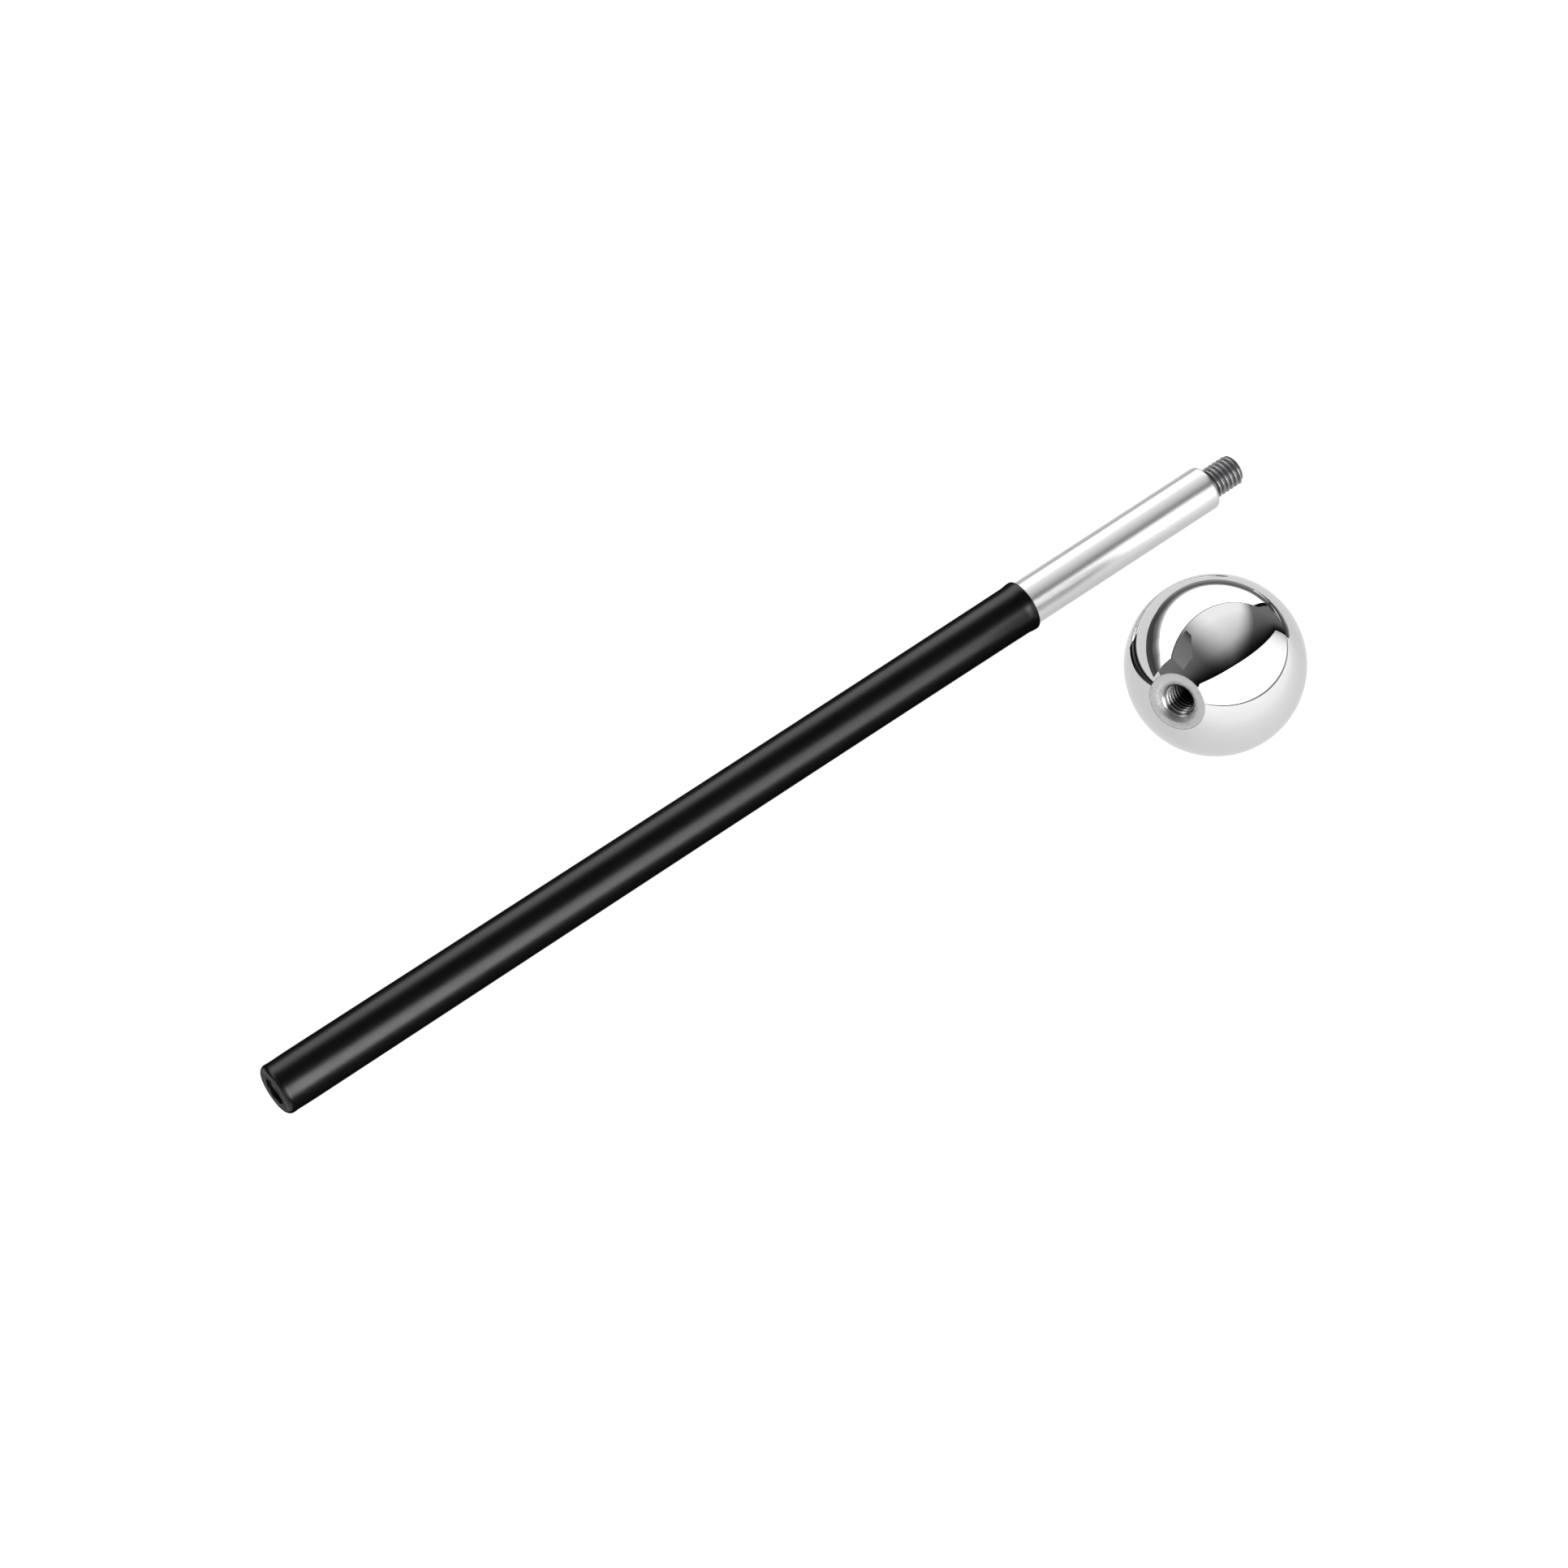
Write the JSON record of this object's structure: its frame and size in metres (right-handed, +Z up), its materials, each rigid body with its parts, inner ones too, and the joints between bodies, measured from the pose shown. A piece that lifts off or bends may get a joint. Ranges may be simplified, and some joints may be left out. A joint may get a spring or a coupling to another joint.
{
  "type": "devil stick",
  "caption": "Take-apart hand stick: a bright round bar in a black sleeve, threaded at its end to carry a mirror ball that lies unscrewed beside it.",
  "frame": {"origin": "on the table, under the middle of the whole arrangement's box", "axes": "+X along the stick from its butt to its threaded stud, +Z up, the ball on the -Y side"},
  "size_m": [0.287, 0.0766, 0.0435],
  "materials": {
    "bright_steel": "polished",
    "dark_steel": "rolled thread, plain steel",
    "black_film": "satin",
    "mirror_steel": "mirror",
    "turned_steel": "fine turned"
  },
  "bodies": {
    "stick": {"bar": "bright_steel", "threaded_stud": "dark_steel", "grip_sleeve": "black_film"},
    "ball": {"ball_shell": "mirror_steel", "ball_bush": "turned_steel"}
  },
  "joints": [
    {"name": "ball_lift", "type": "slide", "parent": "stick", "child": "ball", "axis": [0, 0, 1], "range_m": [0, 0.08]}
  ]
}
